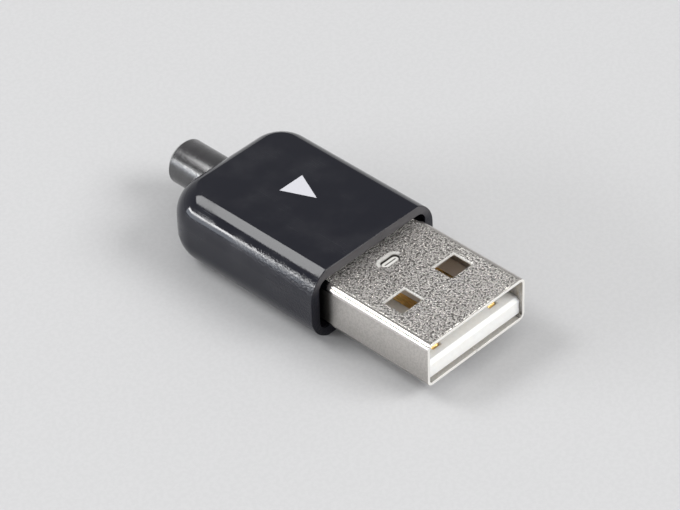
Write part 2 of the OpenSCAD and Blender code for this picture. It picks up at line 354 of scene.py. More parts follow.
def clamp_edge(sheet):
    """Right half of the strap and the clamp behind the shell, as (across, y) from the middle."""
    back, ear = sheet.closed, sheet.arch * math.pi / 2 + 1.5 * MM
    strap, clamp_l, slot, slot_at = 1.7 * MM, 4.2 * MM, 0.8 * MM, sheet.arch * math.pi / 3
    rise = back + sheet.strap_l + sheet.step_run * np.linspace(0, 1, 7)
    clamp = back + sheet.strap_l + sheet.step_run
    clamp_end, first = clamp + clamp_l, clamp + (clamp_l - slot) / 2
    folds = [a for a in np.arange(-13, 14) * sheet.arch * math.pi / 18 if abs(a) < ear]
    inner = [a for a in folds if a > slot_at + 1e-6]
    edge = [(strap, back)] + [(strap, y) for y in rise]
    edge += [(a, clamp) for a in folds if a > strap + 1e-6] + [(ear, clamp), (ear, first)]
    edge += [(a, first) for a in reversed(inner)] + [(slot_at, first), (slot_at, first + slot)]
    edge += [(a, first + slot) for a in inner] + [(ear, first + slot), (ear, clamp_end)]
    return edge, folds, (clamp, clamp_end, strap)


def shell_outline(sheet, seam):
    """Outline of the flat pattern, counter-clockwise, with the fold lines' ends on it."""
    around, back, mid = sheet.around, sheet.closed, sheet.middle
    neck, head, reach, dove = 0.6 * MM, 0.95 * MM, 1.1 * MM, 9.2 * MM
    edge, folds, clamp = clamp_edge(sheet)
    front = [seam / 2, *sheet.fold_lines(), around - seam / 2]
    loop = [(s, 0.0) for s in front]
    loop += [(around - seam / 2, dove - neck), (around, dove - neck), (around + reach, dove - head)]
    loop += [(around + reach, dove + head), (around, dove + neck), (around - seam / 2, dove + neck)]
    loop += [(s, back) for s in reversed(front) if s > mid + edge[0][0]]
    loop += [(mid + a, y) for a, y in edge]
    loop += [(mid + a, clamp[1]) for a in reversed(folds)]
    loop += [(mid - a, y) for a, y in reversed(edge)]
    loop += [(s, back) for s in reversed(front) if s < mid - edge[0][0]]
    slope = (head - neck) / (reach + 1.5 * seam)
    loop += [(seam / 2, dove + neck + seam + slope * seam)]
    loop += [(reach + seam, dove + head + seam), (reach + seam, dove - head - seam)]
    loop += [(seam / 2, dove - neck - seam - slope * seam)]
    kept = [np.array(p) for p in loop]
    clean = [p for p, q in zip(kept, kept[-1:] + kept[:-1]) if np.abs(p - q).max() > 1e-8]
    return np.array(clean), folds, clamp


def shell_pattern(sheet, sizes):
    """Flat pattern: loops of the cut edges, and the triangles between them."""
    outline, folds, (clamp, clamp_end, strap) = shell_outline(sheet, sizes.seam)
    mid, rim, corner = sheet.middle, sizes.rim, 0.16 * MM
    loops = [outline]
    for sx in (-1, 1):
        for centre in (mid + sx * sizes.window_x, sx * sizes.window_x):
            if centre < 0:
                centre += sheet.around
            window = rounded_window(centre, sizes.window_y, sizes.window_w, sizes.window_l, corner)
            loops.append(window[::-1])
    rims = [rim] + [WINDOW_ROLL * rim] * (len(loops) - 1)
    inner = [inset_loop(loop, wide) for loop, wide in zip(loops, rims)]
    points, edges = [], []

    def closed_line(loop):
        start = len(points)
        points.extend(tuple(p) for p in loop)
        edges.extend((start + i, start + (i + 1) % len(loop)) for i in range(len(loop)))

    def line(a, b):
        points.extend([a, b])
        edges.append((len(points) - 2, len(points) - 1))

    for loop in inner:
        closed_line(loop)
    for s in sheet.fold_lines():
        line((s, rim), (s, sheet.closed - rim))
    for a in folds:
        start = sheet.closed + sheet.strap_l if abs(a) < strap else clamp + rim
        line((mid + a, start), (mid + a, clamp_end - rim))
    for shrink in KEEPER_RINGS:
        wide, long = sizes.keeper_w - 2 * shrink, sizes.keeper_l - 2 * shrink
        closed_line(oblong_loop(mid, sizes.keeper_y, wide, long))
    scaled = [Vector((p[0] / MM, p[1] / MM)) for p in points]
    verts, _, faces, origins, _, _ = delaunay_2d_cdt(scaled, edges, [], 0, 1e-5)
    verts = np.array([tuple(v) for v in verts]) * MM
    places = {}
    for i, given in enumerate(origins):
        for g in given:
            places[g] = i
            verts[i] = points[g]
    centres = np.array([verts[list(f)].mean(0) for f in faces])
    keep = inside(inner[0], centres)
    for loop in inner[1:]:
        keep &= ~inside(loop, centres)
    return loops, inner, rims, verts, [tuple(f) for f, k in zip(faces, keep) if k], places


def build_shell(sizes):
    sheet = FoldedSheet(sizes)
    loops, inner, rims, flat, faces, places = shell_pattern(sheet, sizes)
    thick = sizes.sheet
    count = len(flat)
    zero = np.zeros(count)
    verts = [sheet.placed(flat, zero), sheet.placed(flat, zero + thick)]
    solid = [tuple(f) for f in faces] + [tuple(count + i for i in reversed(f)) for f in faces]
    total = 2 * count
    turns = [math.radians(t) for t in (0, 22.5, 45, 67.5, 90)]
    first = 0
    for loop, edge, rim in zip(loops, inner, rims):
        rings = [(math.sin(t), rim * (1 - math.cos(t))) for t in turns]
        rings += [(share, thick - depth) for share, depth in reversed(rings)]
        n = len(loop)
        index = [places[first + i] for i in range(n)]
        first += n
        previous = index
        for k, (share, depth) in enumerate(rings[1:], 1):
            if k == len(rings) - 1:
                current = [count + i for i in index]
            else:
                ring = edge + (loop - edge) * share
                verts.append(sheet.placed(ring, np.full(n, depth)))
                current = list(range(total, total + n))
                total += n
            solid += band(current, previous)
            previous = current
    piece = finished("folded_shell", np.concatenate(verts), solid, "nickel_sheet", ["plug_shell"], 40)
    weigh_normals(piece)
    return piece


# ---- moulded housing ---------------------------------------------------------


def edge_profile(half_w, half_h, r, cut, inset, steps):
    """Outline of one side of the section, from the top flat round to the bottom flat."""
    centre_x, centre_z = half_w - r, half_h + cut - r
    radius, height = r - inset, half_h - inset
    top = math.asin(min(1.0, (height - centre_z) / radius))
    turns = np.linspace(top, 0, steps + 1)
    upper = [(centre_x + radius * math.cos(t), centre_z + radius * math.sin(t)) for t in turns]
    return upper + [(x, -z) for x, z in reversed(upper)]


def wrapped_block(shape, corner, stations, rear, steps=20, turn_steps=28):
    """Block whose long edges wrap its two rear corners. Stations are (y, inset) in front."""
    half_w, half_h, r, cut = shape
    line_y = rear - corner
    rows = []
    for y, inset in stations:
        rows.append([(-x, y, z) for x, z in edge_profile(half_w, half_h, r, cut, inset, steps)])
    whole = edge_profile(half_w, half_h, r, cut, 0.0, steps)
    pivot = half_w - corner
    for i in range(turn_steps + 1):
        a = math.pi / 2 * i / turn_steps
        ca, sa = math.cos(a), math.sin(a)
        rows.append([(-pivot - (x - pivot) * ca, line_y + (x - pivot) * sa, z) for x, z in whole])
    rows += [[(-x, y, z) for x, y, z in row] for row in reversed(rows)]
    width = len(whole)
    verts = [p for row in rows for p in row]
    faces = []
    for k in range(len(rows) - 1):
        row = range(k * width, (k + 1) * width)
        faces += band(row, range(row.stop, row.stop + width), closed=False)
    last, fronts = len(rows) - 1, len(stations)
    for k in range(fronts - 1):
        left, right = k * width, (last - k) * width
        for side in (0, width - 1):
            quad = (left + side, left + width + side, right - width + side, right + side)
            faces.append(quad if side == 0 else quad[::-1])
    ring = range(fronts - 1, last - fronts + 2)
    faces.append(tuple(k * width for k in ring))
    faces.append(tuple(k * width + width - 1 for k in reversed(ring)))
    faces.append(tuple(range(width)) + tuple(last * width + i for i in reversed(range(width))))
    return verts, faces


def lip_stations(front, lip, flare, steps=8):
    """Front stations that round the block's edge inwards, or flare an opening."""
    rows = []
    for i in range(steps, -1, -1):
        t = math.pi / 2 * i / steps
        rows.append((front + lip * (1 - math.sin(t)), flare * lip * (1 - math.cos(t))))
    return rows


def cylinder_between(radius, start, end, drop, steps=96):
    """Points and faces of a closed cylinder along Y, set a little below the middle."""
    turns = [math.tau * i / steps for i in range(steps)]
    verts = [(radius * math.cos(t), y, radius * math.sin(t) - drop) for y in (start, end) for t in turns]
    near, far = range(steps), range(steps, 2 * steps)
    return verts, band(near, far) + [tuple(near), tuple(reversed(far))]


def box_between(low, high):
    xs, ys, zs = zip(low, high)
    verts = [(x, y, z) for x in xs for y in ys for z in zs]
    faces = [(0, 1, 3, 2), (4, 6, 7, 5), (0, 4, 5, 1), (2, 3, 7, 6), (0, 2, 6, 4), (1, 5, 7, 3)]
    return verts, faces


def solid(name, verts, faces):
    return finished(name, verts, faces, "", [])


def true_normals(piece, shape, corner, front, rear):
    """Sets the exact normals of the polished skin, so that reflections run unbroken."""
    half_w, half_h, r, cut = shape
    mesh = piece.data
    count = len(mesh.loops)
    normals = np.zeros(count * 3, np.float32)
    mesh.corner_normals.foreach_get("vector", normals)
    normals = normals.reshape(-1, 3)
    index = np.zeros(count, np.int32)
    mesh.loops.foreach_get("vertex_index", index)
    points = np.array([v.co for v in mesh.vertices], float) - [0, MOUTH_Y, MIDDLE_Z]
    pivot, line_y, centre_z = half_w - corner, rear - corner, half_h + cut - r
    over_x = np.maximum(np.abs(points[:, 0]) - pivot, 0) * np.sign(points[:, 0])
    over_y = np.maximum(points[:, 1] - line_y, 0)
    plan = np.hypot(over_x, over_y)
    outward = plan - (corner - r)
    over_z = np.maximum(np.abs(points[:, 2]) - centre_z, 0) * np.sign(points[:, 2])
    away = np.hypot(outward, over_z)
    on_skin = (np.abs(away - r) < 2e-6) & (points[:, 1] > front)
    divisor = np.maximum(plan, 1e-9)
    exact = np.stack([outward * over_x / divisor, outward * over_y / divisor, over_z], 1)
    exact /= np.maximum(away, 1e-9)[:, None]
    for poly in mesh.polygons:
        flat = np.array(poly.normal)
        if abs(flat[2]) > 0.995 or flat[1] < -0.5:
            continue
        loops = range(poly.loop_start, poly.loop_start + poly.loop_total)
        corners = index[list(loops)]
        if on_skin[corners].all() and float(exact[corners].mean(0) @ flat) > 0.9:
            normals[list(loops)] = exact[corners]
    mesh.normals_split_custom_set([tuple(n) for n in normals])


def build_housing(sizes):
    half_w = (HOUSING_HIGH.x - HOUSING_LOW.x) / 2
    half_h = (HOUSING_HIGH.z - HOUSING_LOW.z) / 2
    front, rear = HOUSING_LOW.y - MOUTH_Y, HOUSING_HIGH.y - MOUTH_Y
    shell_w, shell_h = SHELL_HIGH.x - SHELL_LOW.x, 2 * (SHELL_HIGH.z - MIDDLE_Z)
    shape = (half_w, half_h, sizes.edge, sizes.cut)
    verts, faces = wrapped_block(shape, sizes.corner, lip_stations(front, sizes.lip, 1.0), rear)
    piece = finished("moulded_housing", verts, faces, "black_gloss_housing", ["housing"], 18)
    cave_w, cave_h = shell_w / 2 + sizes.side_gap, shell_h / 2 + sizes.top_gap
    cave = (cave_w, cave_h, sizes.opening, 0.0)
    over, slack = 1.0 * MM, 0.05 * MM
    flare = lip_stations(front, sizes.lip, -1.0)
    flare.insert(0, (front - over, flare[0][1]))
    cave_end = rear - sizes.wall
    cave_corner = sizes.corner - (half_w - cave_w)
    verts, faces = wrapped_block(cave, cave_corner, flare, cave_end, steps=8, turn_steps=14)
    boolean(piece, solid("cavity", verts, faces), "DIFFERENCE")
    sleeve = bpy.context.scene.plug_sleeve
    hole = (sleeve.across / 2 + slack, cave_end - over / 2, rear + over)
    seat_start = cave_end - sleeve.flange - sizes.opening
    seat = (cave_h - sleeve.drop - slack, seat_start, cave_end)
    for radius, start, end in (hole, seat):
        boolean(piece, solid("bore", *cylinder_between(radius, start, end, sleeve.drop)), "DIFFERENCE")
    rib, sunk = sizes.rib, sizes.sunk
    rib_front, rib_back = front + sizes.rib_start, bpy.context.scene.plug_shell.closed
    for sx in (-1, 1):
        x = sx * sizes.rib_x
        side = sorted((sx * shell_w / 2, sx * (cave_w + sunk)))
        stop = sorted((sx * (shell_w / 2 - sunk), sx * (cave_w + sunk)))
        blocks = (
            ((x - rib, rib_front, shell_h / 2), (x + rib, rib_back, cave_h + sunk)),
            ((x - rib, rib_front, -cave_h - sunk), (x + rib, rib_back, -shell_h / 2)),
            ((side[0], rib_front, -rib), (side[1], rib_back, rib)),
            ((stop[0], rib_back, -2 * rib), (stop[1], rib_back + sizes.stop, 2 * rib)),
        )
        for low, high in blocks:
            boolean(piece, solid("rib", *box_between(low, high)), "UNION")
    piece.data.shade_smooth()
    piece.data.set_sharp_from_angle(angle=math.radians(18))
    true_normals(piece, shape, sizes.corner, front + sizes.lip - 1e-6, rear)
    return piece


# ---- turned sleeve and contacts, made with node trees ------------------------


def new_tree(name, inputs):
    """Starts a tree that takes and gives a shape, with further inputs as (name, kind, default)."""
    tree = bpy.data.node_groups.new(name, "GeometryNodeTree")
    for way in ("INPUT", "OUTPUT"):
        tree.interface.new_socket("Geometry", in_out=way, socket_type="NodeSocketGeometry")
    return tree, open_inputs(tree, inputs)


def open_inputs(tree, inputs):
    for label, kind, default in inputs:
        socket = tree.interface.new_socket(label, in_out="INPUT", socket_type=kind)
        if default is not None:
            socket.default_value = default
    return add(tree, "NodeGroupInput").outputs


def add(tree, kind, **values):
    """Adds a node. A value named in_0 goes into input 0, the others are attributes."""
    node = tree.nodes.new(kind)
    for key, value in values.items():
        if key.startswith("in_"):
            place = key[3:]
            socket = node.inputs[int(place) if place.isdigit() else place]
            if isinstance(value, bpy.types.NodeSocket):
                tree.links.new(value, socket)
            else:
                socket.default_value = value
        else:
            setattr(node, key, value)
    return node


def chained(kind):
    """Makes a function that runs one kind of sum through its values, in the tree they lie in."""

    def chain(*values):
        tree = next(v for v in values if isinstance(v, bpy.types.NodeSocket)).id_data
        total = values[0]
        for value in values[1:] or (0.0,):
            total = add(tree, "ShaderNodeMath", operation=kind, in_0=total, in_1=value).outputs[0]
        return total

    return chain


plus, minus, times, divided = map(chained, ("ADD", "SUBTRACT", "MULTIPLY", "DIVIDE"))
larger, sized, root, floored = map(chained, ("MAXIMUM", "ABSOLUTE", "SQRT", "FLOOR"))
above, below, remainder = map(chained, ("GREATER_THAN", "LESS_THAN", "MODULO"))
sine, cosine = map(chained, ("SINE", "COSINE"))


def parts_of(vector):
    return add(vector.id_data, "ShaderNodeSeparateXYZ", in_0=vector).outputs


def finish_tree(tree, geometry, material):
    real = add(tree, "GeometryNodeRealizeInstances", in_0=geometry)
    painted = add(tree, "GeometryNodeSetMaterial", in_Geometry=real.outputs[0], in_Material=material)
    add(tree, "NodeGroupOutput", in_0=painted.outputs[0])


def lathe_tree():
    """Turns a profile, whose points lie in order in X and Y, about an axis along Y."""
    tree, given = new_tree("turned profile", [
        ("Profile points", "NodeSocketInt", 8), ("Steps", "NodeSocketInt", 96),
        ("Axis height", "NodeSocketFloat", 0.0), ("Finish", "NodeSocketMaterial", None),
    ])
    rows = plus(given["Steps"], 1.0)
    grid = add(tree, "GeometryNodeMeshGrid", in_2=rows, in_3=given["Profile points"])
    index = add(tree, "GeometryNodeInputIndex").outputs[0]
    row = floored(divided(index, given["Profile points"]))
    column = remainder(index, given["Profile points"])
    place = add(tree, "GeometryNodeInputPosition").outputs[0]
    point = add(
        tree, "GeometryNodeSampleIndex", data_type="FLOAT_VECTOR", domain="POINT",
        in_Geometry=given["Geometry"], in_Value=place, in_Index=column,
    )
    parts = parts_of(point.outputs[0])
    turn = times(divided(row, given["Steps"]), math.tau)
    x = times(parts[0], cosine(turn))
    z = times(parts[0], sine(turn))
    height = plus(z, given["Axis height"])
    where = add(tree, "ShaderNodeCombineXYZ", in_0=x, in_1=parts[1], in_2=height)
    moved = add(
        tree, "GeometryNodeSetPosition", in_Geometry=grid.outputs[0], in_Position=where.outputs[0]
    )
    merged = add(tree, "GeometryNodeMergeByDistance", in_Geometry=moved.outputs[0], in_Distance=1e-7)
    finish_tree(tree, merged.outputs[0], given["Finish"])
    return tree


def pair_tree():
    """Puts a shape on each side of the middle, at the given distance from it."""
    tree, given = new_tree("side by side", [
        ("Distance", "NodeSocketFloat", 0.001), ("Finish", "NodeSocketMaterial", None),
    ])
    across = times(given["Distance"], 2.0)
    start = add(tree, "ShaderNodeCombineXYZ", in_0=times(given["Distance"], -1.0))
    step = add(tree, "ShaderNodeCombineXYZ", in_0=across)
    row = add(
        tree, "GeometryNodeMeshLine", mode="OFFSET", in_Count=2,
        in_2=start.outputs[0], in_Offset=step.outputs[0],
    )
    placed = add(
        tree, "GeometryNodeInstanceOnPoints", in_Points=row.outputs[0], in_Instance=given["Geometry"]
    )
    finish_tree(tree, placed.outputs[0], given["Finish"])
    return tree


def grow(piece, tree, values):
    """Runs a tree on a piece with the given inputs and keeps the plain result."""
    nodes = piece.modifiers.new("rule", "NODES")
    nodes.node_group = tree
    named = {item.name: item.identifier for item in tree.interface.items_tree if item.in_out == "INPUT"}
    for name, value in values.items():
        nodes[named[name]] = value
    piece.update_tag()
    bpy.context.view_layer.update()
    plain_copy(piece)


def sleeve_profile(sizes):
    """Points (radius, y) round the sleeve's section, with rounded chamfer edges."""
    start = SLEEVE_LOW.y - MOUTH_Y
    end = SLEEVE_HIGH.y - MOUTH_Y
    outer, bore = sizes.across / 2, sizes.bore / 2
    wide = (SLEEVE_HIGH.x - SLEEVE_LOW.x) / 2
    c, soft = sizes.chamfer, 0.06 * MM
    inner_c = 0.2 * MM
    return [
        (bore, start), (wide - soft, start), (wide, start + soft),
        (wide, start + sizes.flange - soft), (wide - soft, start + sizes.flange),
        (outer, start + sizes.flange), (outer, start + 2 * sizes.flange),
        (outer, end - c - soft), (outer - 0.3 * soft, end - c),
        (outer - c + 0.5 * soft, end - 0.5 * soft), (outer - c - 0.5 * soft, end),
        (bore + inner_c + 0.3 * soft, end), (bore + inner_c - 0.3 * soft, end - 0.3 * soft),
        (bore, end - inner_c), (bore, start),
    ]


def build_sleeve(sizes, material):
    profile = sleeve_profile(sizes)
    mesh = bpy.data.meshes.new("turned_sleeve")
    mesh.from_pydata([(r, y + MOUTH_Y, 0.0) for r, y in profile], [], [])
    piece = linked("turned_sleeve", mesh)
    values = {"Profile points": len(profile), "Steps": sizes.steps, "Finish": material}
    grow(piece, lathe_tree(), values | {"Axis height": MIDDLE_Z - sizes.drop})
    mesh = piece.data
    bpy.data.objects.remove(piece)
    return dressed("turned_sleeve", mesh, "black_satin_sleeve", ["cable_sleeve"], 25)


def contact_shape(sizes, low, high):
    """Blade with a dipped tip and a half-round solder cup, centred across."""
    start = low.y - MOUTH_Y
    cup_r, cup_l, neck = 0.62 * MM, 2.0 * MM, 0.8 * MM
    cup_from = high.y - MOUTH_Y - cup_l
    thick, soft = sizes.thick, 0.035 * MM
    insulated = 16.8 * MM
    tail = insulated + neck + thick
    drop = 2 * thick
    centre = [(start, -drop), (start + 0.12 * MM, -drop * 0.92), (start + sizes.tip, 0.0)]
    centre += [(start + sizes.tip + 0.12 * MM, 0.0), (tail, 0.0)]
    verts, faces = [], []
    half = sizes.wide / 2
    ring = [
        (-half + soft, 0.0), (half - soft, 0.0), (half, -soft), (half, soft - thick),
        (half - soft, -thick), (soft - half, -thick), (-half, soft - thick), (-half, -soft),
    ]
    for y, dz in centre:
        verts += [(x, y, z + dz) for x, z in ring]
    n = len(ring)
    rows = [range(k * n, (k + 1) * n) for k in range(len(centre))]
    for one, other in zip(rows, rows[1:]):
        faces += band(one, other)
    faces += [tuple(rows[0]), tuple(reversed(rows[-1]))]
    base, steps = len(verts), 16
    cup_z = cup_r - thick
    for y in (cup_from, cup_from + cup_l):
        for radius in (cup_r, cup_r - thick):
            for i in range(steps + 1):
                t = math.pi + math.pi * i / steps
                verts.append((radius * math.cos(t), y, cup_z + radius * math.sin(t)))
    a, b, c, d = (range(base + k * (steps + 1), base + (k + 1) * (steps + 1)) for k in range(4))
    for one, other in ((a, c), (d, b), (b, a), (c, d)):
        faces += band(one, other, closed=False)
    faces += [(a[0], c[0], d[0], b[0]), (a[-1], b[-1], d[-1], c[-1])]
    return verts, faces


def build_contacts(sizes, name, nodes, distance, tree, material):
    low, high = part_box(nodes[0])
    verts, faces = contact_shape(sizes, low, high)
    shape = solid(name, verts, faces)
    grow(shape, tree, {"Distance": distance, "Finish": material})
    mesh = shape.data
    bpy.data.objects.remove(shape)
    return dressed(name, mesh, "gold_contact", list(nodes), 30)


# ---- shader groups -----------------------------------------------------------


def shader_group(name, inputs, outputs):
    group = bpy.data.node_groups.new(name, "ShaderNodeTree")
    given = open_inputs(group, inputs)
    for label, kind in outputs:
        group.interface.new_socket(label, in_out="OUTPUT", socket_type=kind)
    return group, given


FLOAT, VECTOR = "NodeSocketFloat", "NodeSocketVector"


def ramp(value, low, high, to_low=0.0, to_high=1.0):
    """Soft step between two values, which may run either way."""
    return add(
        value.id_data, "ShaderNodeMapRange", clamp=True, interpolation_type="SMOOTHSTEP",
        in_0=value, in_1=low, in_2=high, in_3=to_low, in_4=to_high,
    ).outputs[0]


def grain_group():
    """Fine random grain: a height for the bump and a mask for tone."""
    group, given = shader_group(
        "fine grain",
        [("Place", VECTOR, None), ("Scale", FLOAT, 8000.0), ("Roughness", FLOAT, 0.6)],
        [("Height", FLOAT), ("Tone", FLOAT)],
    )
    noise = add(
        group, "ShaderNodeTexNoise", in_Vector=given["Place"], in_Scale=given["Scale"],
        in_Detail=2.0, in_Roughness=given["Roughness"],
    )
    coarse = add(
        group, "ShaderNodeTexNoise", in_Vector=given["Place"],
        in_Scale=times(given["Scale"], 0.06), in_Detail=3.0,
    )
    spread = ramp(noise.outputs[0], 0.40, 0.60)
    mixed = plus(times(spread, 0.8), times(coarse.outputs[0], 0.2))
    add(group, "NodeGroupOutput", in_0=spread, in_1=mixed)
    return group


def scuff_group():
    """Faint scratches that run in several directions, and softer rubbed patches."""
    group, given = shader_group(
        "scuffs",
        [("Place", VECTOR, None), ("Scale", FLOAT, 1000.0), ("Cover", FLOAT, 0.5)],
        [("Lines", FLOAT), ("Patches", FLOAT)],
    )
    total = None
    for angle, stretch in ((0.35, 22.0), (1.25, 30.0), (-0.7, 26.0)):
        turned = add(group, "ShaderNodeMapping", in_Vector=given["Place"])
        turned.inputs["Rotation"].default_value = (0.0, 0.0, angle)
        turned.inputs["Scale"].default_value = (1.0, 1.0 / stretch, 1.0)
        lines = add(
            group, "ShaderNodeTexNoise", in_Vector=turned.outputs[0], in_Detail=1.0,
            in_Scale=times(given["Scale"], 6.0),
        )
        thin = ramp(lines.outputs[0], 0.66, 0.74)
        total = thin if total is None else larger(total, thin)
    patch = add(
        group, "ShaderNodeTexNoise", in_Vector=given["Place"], in_Detail=4.0,
        in_Scale=times(given["Scale"], 0.35),
    )
    patches = times(ramp(patch.outputs[0], 0.42, 0.72), given["Cover"])
    add(group, "NodeGroupOutput", in_0=times(total, patches), in_1=patches)
    return group


GROUP_MAKERS = {"grain": grain_group, "scuffs": scuff_group}
GROUPS = {}


def group_node(tree, name, **values):
    if name not in GROUPS:
        GROUPS[name] = GROUP_MAKERS[name]()
    given = {f"in_{key}": value for key, value in values.items()}
    return add(tree, "ShaderNodeGroup", node_tree=GROUPS[name], **given)


def new_material(name, base, roughness, metallic=0.0):
    material = bpy.data.materials.new(name)
    material.use_nodes = True
    tree = material.node_tree
    shader = tree.nodes["Principled BSDF"]
    shader.inputs["Base Color"].default_value = (*base, 1.0)
    shader.inputs["Roughness"].default_value = roughness
    shader.inputs["Metallic"].default_value = metallic
    place = tree.nodes.new("ShaderNodeTexCoord").outputs["Object"]
    return material, tree, shader, place


def blend_colour(mask, a, b):
    node = add(mask.id_data, "ShaderNodeMix", data_type="RGBA", in_0=mask)
    for socket, value in ((node.inputs[6], a), (node.inputs[7], b)):
        if isinstance(value, bpy.types.NodeSocket):
            mask.id_data.links.new(value, socket)
        else:
            socket.default_value = (*value, 1.0)
    return node.outputs[2]


def feed(shader, name, value):
    shader.id_data.links.new(value, shader.inputs[name])


def bump(shader, height, strength, distance):
    node = add(
        shader.id_data, "ShaderNodeBump", in_Strength=strength, in_Distance=distance, in_Height=height
    )
    feed(shader, "Normal", node.outputs[0])


def scaled(base, share):
    return tuple(min(1.0, c * share) for c in base)


def keeper_masks(sizes, parts, side):
    """Masks of the keeper's plate, the dark cracks in it and the sheet drawn down behind it; the plate
    and the drawn sheet carry a painted highlight.
    """
    radius = sizes.keeper_l / 2
    back = minus(parts[1], MOUTH_Y + sizes.keeper_y)
    across = larger(minus(side, sizes.keeper_w / 2 - radius), 0.0)
    away = root(plus(times(across, across), times(back, back)))
    upper = above(parts[2], MIDDLE_Z)
    plate = times(upper, ramp(away, radius, radius - 0.04 * MM))
    ring = minus(ramp(away, radius - 0.15 * MM, radius - 0.11 * MM),
                 ramp(away, radius - 0.02 * MM, radius + 0.02 * MM))
    off_slit = sized(plus(back, 0.02 * MM))
    off_middle = sized(minus(side, 0.25 * MM))
    slit = times(ramp(off_slit, 0.08 * MM, 0.03 * MM), ramp(off_middle, 0.45 * MM, 0.35 * MM))
    drawn = times(ramp(away, radius + 0.36 * MM, radius + 0.29 * MM), upper,
                  ramp(back, -0.1 * MM, 0.15 * MM))
    return plate, times(plate, larger(slit, ring)), drawn


def rim_highlight_mask(sizes, parts, side):
    """Mask of the rolled rims at the rear and right edges of the windows, where a highlight is painted.
    """
    half_w, half_l, roll = sizes.window_w / 2, sizes.window_l / 2, 0.06 * MM
    behind = minus(parts[1], MOUTH_Y + sizes.window_y)
    aside = minus(sized(minus(side, sizes.window_x)), half_w)
    along = minus(sized(behind), half_l)
    half_sign = minus(above(parts[0], 0.0), 0.5)
    right = minus(parts[0], times(half_sign, 2.0 * sizes.window_x))
    near = ramp(larger(aside, along), 0.145 * MM, 0.09 * MM)
    return times(near, larger(ramp(right, half_w - roll, half_w), ramp(behind, half_l - roll, half_l)))


def nickel_material(colours):
    """Matt plate with pebbled faces, smooth folds, painted highlights on the cut edges, window rims and
    keeper, and painted shade beside the housing and towards the bottom.
    """
    material, tree, shader, place = new_material("matt_nickel", colours.nickel, 0.3, 1.0)
    sizes = bpy.context.scene.plug_shell
    half_w, half_h, fold = SHELL_HIGH.x, SHELL_HIGH.z - MIDDLE_Z, sizes.fold
    grain = group_node(tree, "grain", Place=place, Scale=5300.0, Roughness=0.7)
    parts = parts_of(place)
    side = sized(parts[0])
    height = sized(minus(parts[2], MIDDLE_Z))
    plate, crack, drawn = keeper_masks(sizes, parts, side)
    face = ramp(height, half_h - 0.25 * MM, half_h - 0.05 * MM)
    edge = ramp(side, half_w - 1.12 * fold, half_w - 0.95 * fold)
    bend = times(ramp(height, half_h - 1.02 * fold, half_h - 0.9 * fold),
                 ramp(side, half_w - 1.02 * fold, half_w - 0.9 * fold))
    pebbled = times(face, minus(1.0, larger(edge, plate)),
                    ramp(parts[1], MOUTH_Y + 0.08 * MM, MOUTH_Y + 0.2 * MM))
    faint = plus(0.46, times(grain.outputs["Tone"], 0.12))
    tone = plus(times(grain.outputs["Tone"], pebbled), times(minus(1.0, pebbled), faint))
    sheared = times(ramp(height, half_h - 0.02 * MM, half_h - 0.05 * MM),
                    ramp(height, half_h - 0.31 * MM, half_h - 0.28 * MM),
                    below(side, half_w - fold))
    front = below(parts[1], MOUTH_Y + 0.01 * MM)
    rims = rim_highlight_mask(sizes, parts, side)
    # painted highlight: window rims, the sheet drawn behind the keeper, the sheared front edges and the
    # keeper plate get a light, less metallic colour
    highlight_mask = larger(rims, drawn, sheared, front, times(plate, 0.85))
    highlight_mask = times(highlight_mask, minus(1.0, crack))
    # painted shade: the sheet darkens within about a millimetre of the housing's front face
    beside = times(ramp(parts[1], HOUSING_LOW.y - 1.2 * MM, HOUSING_LOW.y - 0.4 * MM),
                   ramp(height, half_h - 0.1 * MM, half_h - 0.6 * MM), 0.8)
    # painted shade: the shell darkens towards its bottom
    bottom_shade = ramp(parts[2], SHELL_LOW.z, MIDDLE_Z + 1.5 * MM, 0.3, 0.0)
    base = blend_colour(tone, scaled(colours.nickel, 0.10), BARE_METAL)
    for mask, over in ((beside, SHADE_AND_CRACK_DARK), (bottom_shade, SHADE_AND_CRACK_DARK), (highlight_mask, EDGE_HIGHLIGHT_PAINT), (crack, SHADE_AND_CRACK_DARK)):
        base = blend_colour(mask, base, over)
    feed(shader, "Base Color", base)
    feed(shader, "Metallic", minus(1.0, times(highlight_mask, 0.95)))
    rough = minus(ramp(tone, 0.0, 1.0, 0.46, 0.26), times(bend, 0.2))
    feed(shader, "Roughness", rough)
    share = times(plus(times(pebbled, 0.9), 0.1), minus(1.0, times(bend, 0.85)))
    bump(shader, times(grain.outputs["Height"], share), 0.9, 0.0001)
    return material


